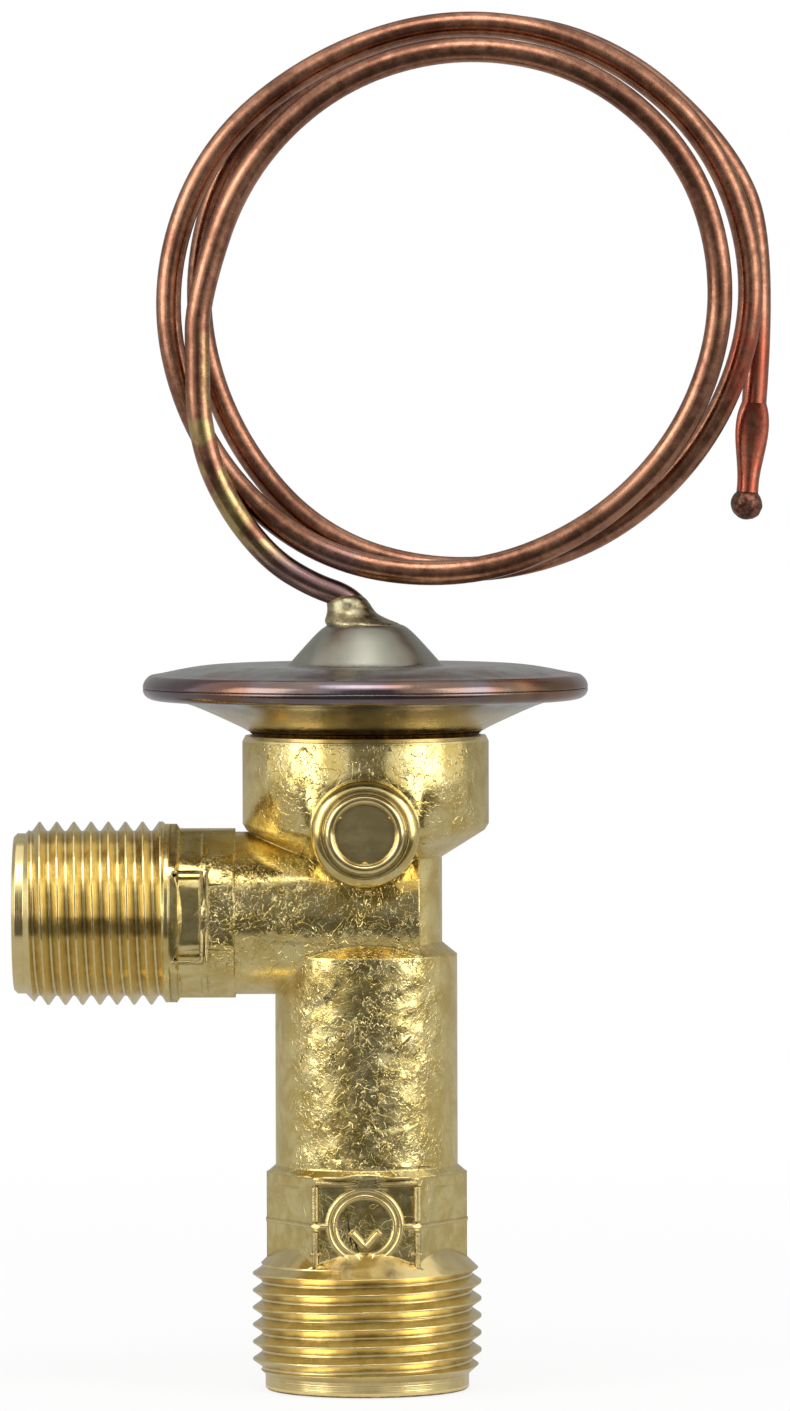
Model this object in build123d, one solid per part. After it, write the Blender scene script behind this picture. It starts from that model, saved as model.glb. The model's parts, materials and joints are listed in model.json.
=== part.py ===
from build123d import *
from math import cos, pi, radians, sin, tan
import os

# Thermostatic expansion valve, angle pattern, inside balanced.
# Millimetres. The origin is the centre of the outlet's end face. +Z runs up the
# valve's axis to the power head, the inlet points to -X, the blanked port to -Y.

# Clearances
running = 0.05            # radial gap of a part that slides or turns in its bore
face_gap = 0.02           # between two flat faces of different bodies

# Outlet end
outlet_thread_r = 10.0
outlet_thread_low = 2.3   # where the thread reaches its full diameter
outlet_thread_top = 10.3
outlet_pilot_r = 8.9
outlet_pilot_top = 1.3
outlet_mouth_r = 7.2
outlet_mouth_depth = 6.0
outlet_hex_flats = 15.4
outlet_hex_corner_r = 8.75
outlet_hex_low = 10.0
outlet_hex_top = 19.0
outlet_cone_spread = 1.2  # the flats run out into the barrel across this cone
edge_break = 0.3

# Barrel, neck and collar
barrel_r = 7.95
barrel_low = 19.6
barrel_top = 38.0
neck_r = 6.65
neck_low = 39.05
neck_top = 46.5
collar_r = 10.75
collar_low = 49.0
collar_top = 57.1
collar_chamfer = 0.25

# Inlet arm, along -X
arm_z = 41.6
arm_r = 7.1
arm_inner_end = 4.7       # the arm stands out of the neck as far as this on the +X side
arm_hex_start = 11.4      # distances from the valve's axis, along the arm
arm_hex_end = 16.9
arm_hex_flats = 14.0
arm_hex_corner_r = 7.4
rib_place = 14.0          # thin ring left between the two milled halves of each flat
rib_width = 0.5
rib_r = 7.25
shoulder_r = 7.8
shoulder_end = 17.5
inlet_thread_r = 8.0
inlet_thread_end = 29.7
inlet_pilot_r = 7.0
inlet_end = 30.7

# Blanked port, along -Y
port_z = 49.0
port_boss_r = 4.65
port_boss_face = 12.0     # distance of its face from the valve's axis
port_round = 1.0
port_lip_r = 3.45
port_lip_height = 0.25
port_bore_r = 2.6
port_bore_depth = 4.2
plug_recess = 0.45
plug_thickness = 1.8
stake_r = 0.34
stakes = 3

# Flow path
chamber_r = 5.75
chamber_top = 33.6
nut_bore_r = 6.05
nut_bore_top = 21.0
seat_r = 2.6
seat_height = 3.2
orifice_r = 1.2
well_r = 2.3
inlet_mouth_r = 5.6
inlet_mouth_depth = 5.0
inlet_bore_r = 5.2
inlet_bore_end = 12.0
balance_r = 0.6
drill_r = 1.0

# Moving stack
pin_r = 0.8
pin_circle_r = 4.3
pin_angle = 60.0
ball_r = 1.98
carrier_r = chamber_r - running
carrier_top = 31.2
carrier_low = 28.0
carrier_pilot_r = 3.2
carrier_pilot_length = 1.1
pocket_rim_r = 2.75
pocket_rim_height = 0.5
notch_r = 1.1
notches = 4
finger_thickness = 0.2
finger_length = 3.4
finger_width = 2.4
fingers = 3
spring_wire_r = 0.5
spring_mean_r = 3.9
spring_open_turns = 3     # one closed turn follows at each end
spring_closed_pitch = 1.05
spring_ground = 0.35      # taken off the wire at each end
spring_sides = 8          # corners of the path to a turn
nut_r = nut_bore_r - running
nut_low = 11.2
nut_height = 5.4
nut_socket_flats = 6.0
spring_seat_r = 5.3
spring_seat_thickness = 1.0
spring_seat_hole_r = 1.7

# Seals round the pins
retainer_r = 6.2
retainer_thickness = 1.0
retainer_recess = 1.5
seal_section_r = 0.45
seal_pocket_depth = 0.95

# Power head
braze_height = 0.3
cup_foot_r = 10.1
cup_hole_r = 5.9
cup_wall = 0.9
head_r = 19.45
weld_z = 61.15            # underside of the diaphragm at the rim
rim_flange = 2.2          # width of the two cups' flat flanges
cup_bend_r = 15.4
cup_bend_rise = 2.6
cup_edge_r = 17.9
cup_edge_rise = 2.85
cap_step_r = 16.7
cap_step_z = 62.75
cap_dish_r = 13.7
cap_dish_z = 63.3
cap_rim_rise = 0.85
diaphragm_t = 0.2
diaphragm_wave = 0.14
wave_first_r = 8.0
wave_pitch = 1.6
waves = 5
cap_boss_low_r = 6.65
cap_boss_top_r = 3.4
cap_boss_low = 63.2
cap_boss_top = 66.8
cap_bore_gap = 0.15       # filled by braze
plate_r = 11.2
plate_low = 59.95
plate_thickness = 0.8
hub_r = 5.3
hub_low = 58.75
pin_seat_depth = 0.6

# Capillary tube: the head's lead, two and a half turns, and the closed tail
tube_r = 1.09
coil_x = 8.55
coil_z = 95.0
turn_pitch = 2.6
coil_front = -2.6
coil_step = 30.0
corner_factor = 1.034     # a corner of the path lies this much outside the bent tube
first_turn = (22.3, 21.6, 21.45, 21.65, 22.35, 22.75, 22.4, 22.1, 22.35, 23.6, 25.15, 25.55)
second_turn = (25.7, 25.15, 23.8, 24.0, 24.6, 25.35, 25.25, 24.2, 23.65, 23.45, 23.7, 22.85)
last_half = (22.95, 23.5, 23.7, 23.9, 25.05, 25.8)
lead_points = (
    (0.0, 0.0, 63.5),
    (0.0, 0.0, 67.3),
    (-1.5, -0.1, 69.15),
    (-4.5, -0.5, 70.2),
    (-7.75, -1.0, 72.15),
    (-10.4, -1.6, 75.1),
    (-12.3, -2.1, 78.15),
    (-13.65, -2.5, 81.3),
    (-14.45, -2.65, 85.4),
    (-14.5, -2.65, 89.6),
)
tail_corner = (26.6, 4.05, 4.6)   # from the coil's centre
tail_end = (25.55, 4.2, -9.0)
arc_share = 0.45          # of the shorter run, taken by the arc at each corner

# Sealed end of the tube
tip_sections = (          # height below the tube's end, half width, half depth
    (0.0, tube_r, tube_r),
    (3.9, 1.33, 0.72),
    (5.6, 1.08, 0.8),
    (8.2, 1.0, 0.95),
)
bead_r = 1.42
bead_drop = 8.9

# Braze collar at the foot of the lead
sleeve_lean = 30.0
sleeve_shift = 0.3        # towards the inlet
sleeve_foot_r = 2.95
sleeve_r = 1.9
sleeve_top_r = 1.3
sleeve_length = 2.9

# Inlet strainer; distances from the inlet's end face
strainer_start = 5.4
ferrule_length = 1.6
ferrule_bore_r = 3.9
mesh_r = 4.2
mesh_t = 0.3
mesh_end = 16.2
strainer_cap_t = 0.9


def turned(*outline):
    """Solid of revolution about Z from (radius, height) points."""
    corners = [(r, 0, z) for r, z in outline]
    return revolve(make_face(Polyline(*corners, close=True)), Axis.Z)


def drilled(r, low, high, x=0.0, y=0.0):
    return Pos(x, y, low) * Cylinder(r, high - low, align=(Align.CENTER, Align.CENTER, Align.MIN))


def hexagon(flats, low, high, corner_r):
    sides = extrude(RegularPolygon(flats / 2, 6, major_radius=False), high - low)
    return Pos(0, 0, low) * sides & drilled(corner_r, low, high)


def on_inlet(shape):
    """Carries a shape built along Z onto the inlet's axis, its Z pointing to -X."""
    return Location((0, 0, arm_z), (0, -90, 0)) * shape


def on_port(shape):
    """Carries a shape built along Z onto the port's axis, its Z pointing to -Y."""
    return Location((0, 0, port_z), (90, 0, 0)) * shape


def around(count, first=0.0):
    return [first + 360 / count * n for n in range(count)]


def polar(r, angle):
    return r * cos(radians(angle)), r * sin(radians(angle))


def outlet_end():
    stub = turned(
        (0, 0),
        (outlet_pilot_r - edge_break / 2, 0),
        (outlet_pilot_r, edge_break / 2),
        (outlet_pilot_r, outlet_pilot_top),
        (outlet_thread_r, outlet_thread_low),
        (outlet_thread_r, outlet_thread_top),
        (outlet_hex_flats / 2 - 0.1, outlet_thread_top + outlet_thread_r - outlet_hex_flats / 2),
        (0, outlet_hex_top),
    )
    nut = hexagon(outlet_hex_flats, outlet_hex_low, outlet_hex_top, outlet_hex_corner_r)
    cone = turned(
        (0, outlet_hex_top),
        (outlet_hex_corner_r - 0.1, outlet_hex_top),
        (barrel_r, barrel_low),
        (0, barrel_low),
    )
    spread = outlet_hex_flats + outlet_cone_spread
    cone &= hexagon(spread, outlet_hex_top, barrel_low, outlet_hex_corner_r)
    return stub + nut + cone


def trunk():
    return turned(
        (0, outlet_hex_top - 1),
        (barrel_r, outlet_hex_top - 1),
        (barrel_r, barrel_top),
        (neck_r, neck_low),
        (neck_r, neck_top),
        (collar_r - 0.35, collar_low - 0.15),
        (collar_r, collar_low + 0.4),
        (collar_r, collar_top - 2 * collar_chamfer),
        (collar_r - collar_chamfer, collar_top),
        (0, collar_top),
    )


def inlet_arm():
    arm = Pos(0, 0, -arm_inner_end) * Cylinder(
        arm_r, arm_inner_end + arm_hex_start, align=(Align.CENTER, Align.CENTER, Align.MIN)
    )
    arm += hexagon(arm_hex_flats, arm_hex_start, arm_hex_end, arm_hex_corner_r)
    arm += drilled(rib_r, rib_place - rib_width / 2, rib_place + rib_width / 2)
    arm += turned(
        (0, arm_hex_end - 1),
        (arm_hex_flats / 2 - 0.1, arm_hex_end - 1),
        (shoulder_r, arm_hex_end - 0.4),
        (shoulder_r, shoulder_end),
        (inlet_thread_r, shoulder_end + 0.2),
        (inlet_thread_r, inlet_thread_end - (inlet_thread_r - inlet_pilot_r)),
        (inlet_pilot_r, inlet_thread_end),
        (inlet_pilot_r, inlet_end - edge_break),
        (inlet_pilot_r - edge_break, inlet_end),
        (0, inlet_end),
    )
    return on_inlet(arm)


def port_boss():
    boss = turned(
        (0, 0),
        (port_boss_r, 0),
        (port_boss_r, port_boss_face),
        (0, port_boss_face),
    )
    boss = fillet(boss.edges().group_by(Axis.Z)[-1], port_round)
    boss += drilled(port_lip_r, port_boss_face - 1, port_boss_face + port_lip_height)
    return on_port(boss)


def flow_path():
    """Everything that is bored out of the forging."""
    seat_top = chamber_top + seat_height
    cuts = turned(
        (0, -1),
        (outlet_mouth_r + edge_break, -1),
        (outlet_mouth_r + edge_break, 0),
        (outlet_mouth_r, edge_break),
        (outlet_mouth_r, outlet_mouth_depth),
        (nut_bore_r, outlet_mouth_depth + outlet_mouth_r - nut_bore_r),
        (nut_bore_r, nut_bore_top),
        (chamber_r, nut_bore_top + nut_bore_r - chamber_r),
        (chamber_r, chamber_top),
        (seat_r, chamber_top),
        (seat_r, seat_top),
        (well_r, seat_top),
        (well_r, arm_z + well_r),
        (0, arm_z + well_r),
    )
    cuts += on_inlet(drilled(well_r, 0, inlet_bore_end))
    mouth_end = inlet_end - inlet_mouth_depth
    cuts += on_inlet(drilled(inlet_bore_r, inlet_bore_end, mouth_end))
    cuts += on_inlet(
        turned(
            (0, mouth_end),
            (inlet_mouth_r, mouth_end),
            (inlet_mouth_r, inlet_end - edge_break),
            (inlet_mouth_r + edge_break, inlet_end),
            (inlet_mouth_r + edge_break, inlet_end + 1),
            (0, inlet_end + 1),
        )
    )
    cuts += on_port(drilled(port_bore_r, port_boss_face - port_bore_depth, port_boss_face + 1))
    cuts += on_port(drilled(drill_r, 0, port_boss_face - port_bore_depth))
    recess_low = collar_top - retainer_recess
    cuts += drilled(drill_r, port_z, recess_low)
    cuts += drilled(retainer_r + running, recess_low, collar_top + 1)
    for angle in around(2, pin_angle):
        x, y = polar(pin_circle_r, angle)
        cuts += drilled(pin_r + running, chamber_top - 1, recess_low, x, y)
        cuts += drilled(seal_pocket_r(), recess_low - seal_pocket_depth, recess_low, x, y)
    x, y = polar(pin_circle_r, pin_angle - 90)
    cuts += drilled(balance_r, chamber_top - 1, recess_low, x, y)
    return cuts


def seal_pocket_r():
    return pin_r + 2 * seal_section_r + running


def valve_body():
    forging = trunk() + outlet_end() + inlet_arm() + port_boss()
    return forging - flow_path() + port_stakes()


def port_stakes():
    """Metal driven over the plug's edge at three places."""
    plug_face = port_boss_face - plug_recess
    marks = Part()
    for angle in around(stakes, 90):
        x, y = polar(port_bore_r + 0.12, -angle)
        wedge = Cone(
            stake_r, stake_r / 2, plug_recess, align=(Align.CENTER, Align.CENTER, Align.MIN)
        )
        marks += Pos(x, y, plug_face) * wedge
    return on_port(marks)


def staked_plug():
    top = port_boss_face - plug_recess
    disc = turned(
        (0, top - plug_thickness),
        (port_bore_r, top - plug_thickness),
        (port_bore_r, top),
        (0, top),
    )
    return on_port(disc)


def orifice_seat():
    top = chamber_top + seat_height
    return turned(
        (orifice_r, chamber_top),
        (seat_r, chamber_top),
        (seat_r, top),
        (well_r, top),
        (orifice_r, top - (well_r - orifice_r)),
    )


def ball_z():
    """The ball's centre where it closes the orifice's lower edge."""
    return chamber_top - face_gap - (ball_r**2 - orifice_r**2) ** 0.5


def valve_ball():
    return Pos(0, 0, ball_z()) * Sphere(ball_r)


def ball_carrier():
    rim = carrier_top + pocket_rim_height
    carrier = turned(
        (0, carrier_low - carrier_pilot_length),
        (carrier_pilot_r - edge_break, carrier_low - carrier_pilot_length),
        (carrier_pilot_r, carrier_low - carrier_pilot_length + edge_break),
        (carrier_pilot_r, carrier_low),
        (carrier_r, carrier_low),
        (carrier_r, carrier_top),
        (pocket_rim_r, carrier_top),
        (pocket_rim_r - edge_break, rim),
        (0, rim),
    )
    carrier -= valve_ball()
    for angle in around(notches, 15):
        x, y = polar(carrier_r, angle)
        carrier -= drilled(notch_r, carrier_low - 1, carrier_top + 1, x, y)
    return carrier


def damper_spring():
    """Leaf ring under the carrier, with fingers that rub on the chamber's wall."""
    top = carrier_low
    low = top - finger_thickness
    ring = drilled(spring_mean_r + 1.1, low, top) - drilled(carrier_pilot_r + running, low - 1, top + 1)
    finger_outer = chamber_r - running
    finger_inner = finger_outer - finger_thickness
    sleeve = drilled(finger_outer, top - finger_length, top)
    sleeve -= drilled(finger_inner, top - finger_length - 1, low)
    sleeve -= drilled(carrier_pilot_r + running, low - 1, top + 1)
    for angle in around(fingers, 45):
        reach = Pos(finger_outer / 2, 0, top - finger_length / 2) * Box(finger_outer, finger_width, finger_length)
        ring += Rot(0, 0, angle) * reach & sleeve
    return ring


def spring_low():
    return nut_low + nut_height + face_gap + spring_seat_thickness


def spring_top():
    return carrier_low - finger_thickness


def superheat_spring():
    """Compression spring with closed ends, ground flat."""
    low, high = spring_low() + face_gap, spring_top() - face_gap
    start, end = low + spring_wire_r - spring_ground, high - spring_wire_r + spring_ground
    pitch = (end - start - 2 * spring_closed_pitch) / spring_open_turns
    path_r = spring_mean_r / cos(pi / spring_sides)
    points, z = [(spring_mean_r, 0, start)], start
    for n in range((spring_open_turns + 2) * spring_sides):
        closed = n < spring_sides or n >= (spring_open_turns + 1) * spring_sides
        rise = (spring_closed_pitch if closed else pitch) / spring_sides
        x, y = polar(path_r, 360 / spring_sides * (n + 0.5))
        points.append((x, y, z + rise / 2))
        z += rise
    points.append((spring_mean_r, 0, z))
    centre_line = FilletPolyline(*points, radius=2 * arc_share * spring_mean_r)
    section = Plane(centre_line @ 0, z_dir=centre_line % 0) * Circle(spring_wire_r)
    return sweep(section, centre_line) & drilled(spring_mean_r + 2, low, high)


def spring_seat():
    low = nut_low + nut_height + face_gap
    top = low + spring_seat_thickness
    pilot_r = spring_mean_r - spring_wire_r - 0.2
    return turned(
        (spring_seat_hole_r, low),
        (spring_seat_r, low),
        (spring_seat_r, top),
        (pilot_r, top),
        (pilot_r - edge_break, top + spring_seat_thickness),
        (spring_seat_hole_r, top + spring_seat_thickness),
    )


def adjusting_nut():
    high = nut_low + nut_height
    plug = turned(
        (0, nut_low),
        (nut_r - edge_break, nut_low),
        (nut_r, nut_low + edge_break),
        (nut_r, high - edge_break),
        (nut_r - edge_break, high),
        (0, high),
    )
    return plug - hexagon(nut_socket_flats, nut_low - 1, high + 1, nut_socket_flats)


def push_plate():
    plate = turned(
        (0, hub_low),
        (hub_r, hub_low),
        (hub_r, plate_low),
        (plate_r, plate_low),
        (plate_r, plate_low + plate_thickness - edge_break),
        (plate_r - edge_break, plate_low + plate_thickness),
        (0, plate_low + plate_thickness),
    )
    for angle in around(2, pin_angle):
        x, y = polar(pin_circle_r, angle)
        plate -= drilled(pin_r, hub_low - 1, hub_low + pin_seat_depth, x, y)
    return plate


def push_pin(angle):
    x, y = polar(pin_circle_r, angle)
    return drilled(pin_r, carrier_top, hub_low + pin_seat_depth, x, y)


def pin_seal(angle):
    x, y = polar(pin_circle_r, angle)
    z = collar_top - retainer_recess - seal_pocket_depth / 2
    return Pos(x, y, z) * Torus(pin_r + running + seal_section_r, seal_section_r)


def seal_retainer():
    low = collar_top - retainer_recess
    disc = drilled(retainer_r, low, low + retainer_thickness) - drilled(drill_r + 0.2, low - 1, collar_top)
    for angle in around(2, pin_angle):
        x, y = polar(pin_circle_r, angle)
        disc -= drilled(pin_r + running, low - 1, collar_top, x, y)
    x, y = polar(pin_circle_r, pin_angle - 90)
    return disc - drilled(balance_r + 0.1, low - 1, collar_top, x, y)


def head_braze_ring():
    inner = retainer_r + 0.6
    return turned(
        (inner, collar_top),
        (cup_foot_r, collar_top),
        (cup_foot_r - 0.2, collar_top + braze_height / 2),
        (cup_foot_r, collar_top + braze_height),
        (inner, collar_top + braze_height),
    )


def lower_diaphragm_cup():
    foot = collar_top + braze_height
    outline = Polyline(
        (head_r, 0, weld_z),
        (head_r - rim_flange, 0, weld_z),
        (head_r - rim_flange - 0.3, 0, weld_z - 0.25),
        (cup_bend_r - 0.2, 0, foot + cup_bend_rise + cup_wall),
        (cup_foot_r + 0.55, 0, foot + 0.5 + cup_wall),
        (cup_foot_r - 0.4, 0, foot + cup_wall),
        (cup_hole_r, 0, foot + cup_wall),
        (cup_hole_r, 0, foot),
        (cup_foot_r, 0, foot),
        (cup_foot_r + 0.85, 0, foot + 0.5),
        (cup_bend_r, 0, foot + cup_bend_rise),
        (cup_edge_r, 0, foot + cup_edge_rise),
    )
    edge = (cup_edge_r, 0, foot + cup_edge_rise)
    rolled = ThreePointArc(edge, (head_r - 0.3, 0, foot + cup_edge_rise + 0.5), (head_r, 0, weld_z))
    return revolve(make_face(outline + rolled), Axis.Z)


def diaphragm():
    """Thin disc with rings of shallow waves, so that it can lift at the middle."""
    low = [(0, weld_z)]
    for n in range(waves):
        r = wave_first_r + wave_pitch * n
        low += [(r, weld_z), (r + wave_pitch / 4, weld_z + diaphragm_wave)]
        low += [(r + wave_pitch * 3 / 4, weld_z - diaphragm_wave)]
    low += [(wave_first_r + wave_pitch * waves, weld_z), (head_r - 0.6, weld_z)]
    high = [(r, z + diaphragm_t) for r, z in reversed(low)]
    return turned(*low, *high)


def upper_diaphragm_cap():
    seat = weld_z + diaphragm_t
    outline = Polyline(
        (head_r - 0.6, 0, seat + cap_rim_rise),
        (cap_step_r, 0, cap_step_z),
        (cap_dish_r, 0, cap_dish_z),
        (cap_boss_low_r, 0, cap_boss_low),
        (cap_boss_top_r, 0, cap_boss_top),
        (tube_r + cap_bore_gap, 0, cap_boss_top),
        (tube_r + cap_bore_gap, 0, cap_boss_low - cup_wall),
        (cap_boss_low_r - 0.8, 0, cap_boss_low - cup_wall + 0.1),
        (cap_dish_r - 0.3, 0, cap_dish_z - cup_wall),
        (cap_step_r - 0.5, 0, cap_step_z - cup_wall + 0.1),
        (head_r - rim_flange - 0.3, 0, seat + 0.25),
        (head_r - rim_flange, 0, seat),
        (head_r, 0, seat),
    )
    edge = (head_r - 0.6, 0, seat + cap_rim_rise)
    rolled = ThreePointArc((head_r, 0, seat), (head_r - 0.1, 0, seat + 0.5), edge)
    return revolve(make_face(outline + rolled), Axis.Z)


def coil_corners():
    """Corners of the hand-wound turns, clockwise seen from the front, winding back to +Y."""
    corners = []
    for n, r in enumerate(first_turn + second_turn + last_half):
        angle = 180 - coil_step * n
        x, z = polar(r * corner_factor, angle)
        corners.append((coil_x + x, coil_front + turn_pitch * n * coil_step / 360, coil_z + z))
    return corners


def beside_coil(place):
    return Vector(coil_x, 0, coil_z) + Vector(*place)


def tube_path():
    points = [Vector(*p) for p in (*lead_points, *coil_corners())]
    points += [beside_coil(tail_corner), beside_coil(tail_end)]
    radii = []
    for before, here, after in zip(points, points[1:], points[2:]):
        turn = (here - before).get_angle(after - here)
        shorter = min((here - before).length, (after - here).length)
        radii.append(arc_share * shorter / tan(radians(turn) / 2))
    print("capillary bend radii:", " ".join(f"{r:.1f}" for r in radii))
    return FilletPolyline(*points, radius=radii)


def capillary_tube():
    """The tube's outer form; its hair-fine bore, shut at both ends, is left out."""
    path = tube_path()
    section = Plane(path @ 0, z_dir=path % 0) * Circle(tube_r)
    print(f"capillary length {path.length:.1f} mm")
    return sweep(section, path)


def tip_place(drop):
    """Point on the straight tail, this far past the tube's open end."""
    end = beside_coil(tail_end)
    return end + (end - beside_coil(tail_corner)).normalized() * drop


def capillary_tip():
    direction = beside_coil(tail_end) - beside_coil(tail_corner)
    sections = Sketch()
    for drop, half_width, half_depth in tip_sections:
        place = Plane(tip_place(drop), x_dir=(1, 0, 0), z_dir=direction)
        sections += place * Ellipse(half_width, half_depth)
    return loft(sections) - tip_bead()


def tip_bead():
    return Pos(*tip_place(bead_drop)) * Sphere(bead_r)


def capillary_sleeve(tube):
    """Braze collar, leaning the way the lead leaves the head."""
    collar = turned(
        (0, -1.5),
        (sleeve_foot_r + 0.4, -1.5),
        (sleeve_foot_r, 0.3),
        (sleeve_r, 1.0),
        (sleeve_r, sleeve_length - 0.6),
        (sleeve_top_r, sleeve_length),
        (0, sleeve_length),
    )
    collar = Location((-sleeve_shift, 0, cap_boss_top - 0.3), (0, -sleeve_lean, 0)) * collar
    keep = Pos(0, 0, cap_boss_top) * Box(20, 20, 10, align=(Align.CENTER, Align.CENTER, Align.MIN))
    return collar & keep - tube


def strainer_ferrule():
    start = inlet_end - strainer_start
    ring = drilled(inlet_bore_r, start - ferrule_length, start)
    return on_inlet(ring - drilled(ferrule_bore_r, start - ferrule_length - 1, start + 1))


def strainer_mesh():
    start = inlet_end - strainer_start - ferrule_length
    end = inlet_end - mesh_end
    return on_inlet(drilled(mesh_r, end, start) - drilled(mesh_r - mesh_t, end - 1, start + 1))


def strainer_cap():
    end = inlet_end - mesh_end
    return on_inlet(drilled(mesh_r + 0.2, end - strainer_cap_t, end))


def write(name, shape):
    solids = shape.solids()
    shape = solids[0] if len(solids) == 1 else shape
    shape.label = name
    export_step(shape, f"parts/{name}.step")


os.makedirs("parts", exist_ok=True)
tube = capillary_tube()
write("valve_body", valve_body())
write("staked_plug", staked_plug())
write("orifice_seat", orifice_seat())
write("valve_ball", valve_ball())
write("ball_carrier", ball_carrier())
write("damper_spring", damper_spring())
write("superheat_spring", superheat_spring())
write("spring_seat", spring_seat())
write("adjusting_nut", adjusting_nut())
write("push_plate", push_plate())
for count, pin_place in enumerate(around(2, pin_angle), 1):
    write(f"push_pin_{count}", push_pin(pin_place))
    write(f"pin_seal_{count}", pin_seal(pin_place))
write("seal_retainer", seal_retainer())
write("head_braze_ring", head_braze_ring())
write("lower_diaphragm_cup", lower_diaphragm_cup())
write("diaphragm", diaphragm())
write("upper_diaphragm_cap", upper_diaphragm_cap())
write("capillary_sleeve", capillary_sleeve(tube))
write("capillary_tube", tube)
write("capillary_tip", capillary_tip())
write("tip_bead", tip_bead())
write("strainer_ferrule", strainer_ferrule())
write("strainer_mesh", strainer_mesh())
write("strainer_cap", strainer_cap())
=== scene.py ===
import json
import math
import bpy
import bmesh
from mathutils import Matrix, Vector

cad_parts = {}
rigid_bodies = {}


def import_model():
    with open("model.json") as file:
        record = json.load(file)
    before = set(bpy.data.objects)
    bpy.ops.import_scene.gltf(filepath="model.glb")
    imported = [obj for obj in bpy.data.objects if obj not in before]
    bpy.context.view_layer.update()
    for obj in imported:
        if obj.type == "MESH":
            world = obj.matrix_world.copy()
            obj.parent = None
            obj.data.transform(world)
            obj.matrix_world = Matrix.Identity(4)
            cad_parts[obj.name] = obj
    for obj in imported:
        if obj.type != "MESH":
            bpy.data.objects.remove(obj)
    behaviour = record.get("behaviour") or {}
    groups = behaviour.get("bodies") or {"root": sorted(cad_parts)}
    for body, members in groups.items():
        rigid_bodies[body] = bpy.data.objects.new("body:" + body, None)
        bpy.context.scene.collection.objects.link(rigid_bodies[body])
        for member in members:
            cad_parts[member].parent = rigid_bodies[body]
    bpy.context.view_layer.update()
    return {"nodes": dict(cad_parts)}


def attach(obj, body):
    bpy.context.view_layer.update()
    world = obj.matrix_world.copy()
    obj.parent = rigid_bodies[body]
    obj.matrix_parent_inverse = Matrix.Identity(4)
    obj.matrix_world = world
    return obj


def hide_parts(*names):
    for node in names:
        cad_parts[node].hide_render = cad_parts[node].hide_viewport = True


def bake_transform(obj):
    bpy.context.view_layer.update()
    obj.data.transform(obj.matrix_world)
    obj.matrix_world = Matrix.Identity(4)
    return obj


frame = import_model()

mm = 0.001
armHeight = 41.6              # the inlet's axis, millimetres above the outlet's end
portHeight = 49.0             # the front port's axis
weldReach = 0.000001          # points nearer than this are one point, metres
solidWeldReach = 0.000002     # the same for a copy of a solid
print("frame loaded:", len(frame["nodes"]), "solids")


# helpers for working as in edit mode

def deselectAll():
    if bpy.context.object and bpy.context.object.mode != "OBJECT":
        bpy.ops.object.mode_set(mode="OBJECT")
    bpy.ops.object.select_all(action="DESELECT")


def pickOnly(piece):
    deselectAll()
    piece.select_set(True)
    bpy.context.view_layer.objects.active = piece


def settle(piece):
    # the place goes into the mesh, so that the object stands at the origin
    pickOnly(piece)
    bpy.ops.object.transform_apply(location=True, rotation=True, scale=True)


def modify(piece, kind, **settings):
    pickOnly(piece)
    modifier = piece.modifiers.new(kind.title(), kind)
    for name, value in settings.items():
        setattr(modifier, name, value)
    bpy.ops.object.modifier_apply(modifier=modifier.name)


def startEdit(piece, kind="VERT"):
    pickOnly(piece)
    bpy.ops.object.mode_set(mode="EDIT")
    bpy.ops.mesh.select_mode(type=kind)


def endEdit():
    bpy.ops.object.mode_set(mode="OBJECT")


def pickFaces(piece, test):
    # in edit mode: selects the faces whose centre and normal pass the test
    mesh = bmesh.from_edit_mesh(piece.data)
    bpy.ops.mesh.select_all(action="DESELECT")
    for face in mesh.faces:
        if test(face.calc_center_median() / mm, face.normal):
            face.select_set(True)
    mesh.select_flush(True)
    bmesh.update_edit_mesh(piece.data)


def smooth(piece, degrees):
    pickOnly(piece)
    bpy.ops.object.shade_smooth_by_angle(angle=math.radians(degrees))


def named(name):
    piece = bpy.context.object
    piece.name = piece.data.name = name
    return piece


def cylinder(name, sides, radius, depth, place=(0, 0, 0), turn=(0, 0, 0)):
    # millimetres and degrees
    deselectAll()
    bpy.ops.mesh.primitive_cylinder_add(
        vertices=sides, radius=radius * mm, depth=depth * mm,
        location=[value * mm for value in place], rotation=[math.radians(value) for value in turn],
    )
    return named(name)


def torus(name, radius, section, segments, place=(0, 0, 0), turn=90):
    # lies across Y; segments round the ring and round its section
    deselectAll()
    bpy.ops.mesh.primitive_torus_add(
        major_segments=segments[0], minor_segments=segments[1],
        major_radius=radius * mm, minor_radius=section * mm,
        location=[value * mm for value in place], rotation=(math.radians(turn), 0, 0),
    )
    piece = named(name)
    settle(piece)
    return piece


def cut(piece, cutter, operation="DIFFERENCE"):
    modify(piece, "BOOLEAN", operation=operation, object=cutter, solver="MANIFOLD")
    bpy.data.objects.remove(cutter)


def mergedCopy(nodeName, pieceName):
    piece = bpy.data.objects.new(pieceName, frame["nodes"][nodeName].data.copy())
    bpy.context.scene.collection.objects.link(piece)
    pickOnly(piece)
    bpy.ops.mesh.customdata_custom_splitnormals_clear()
    startEdit(piece)
    bpy.ops.mesh.select_all(action="SELECT")
    bpy.ops.mesh.remove_doubles(threshold=solidWeldReach)
    endEdit()
    piece.data.materials.clear()
    return piece


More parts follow.
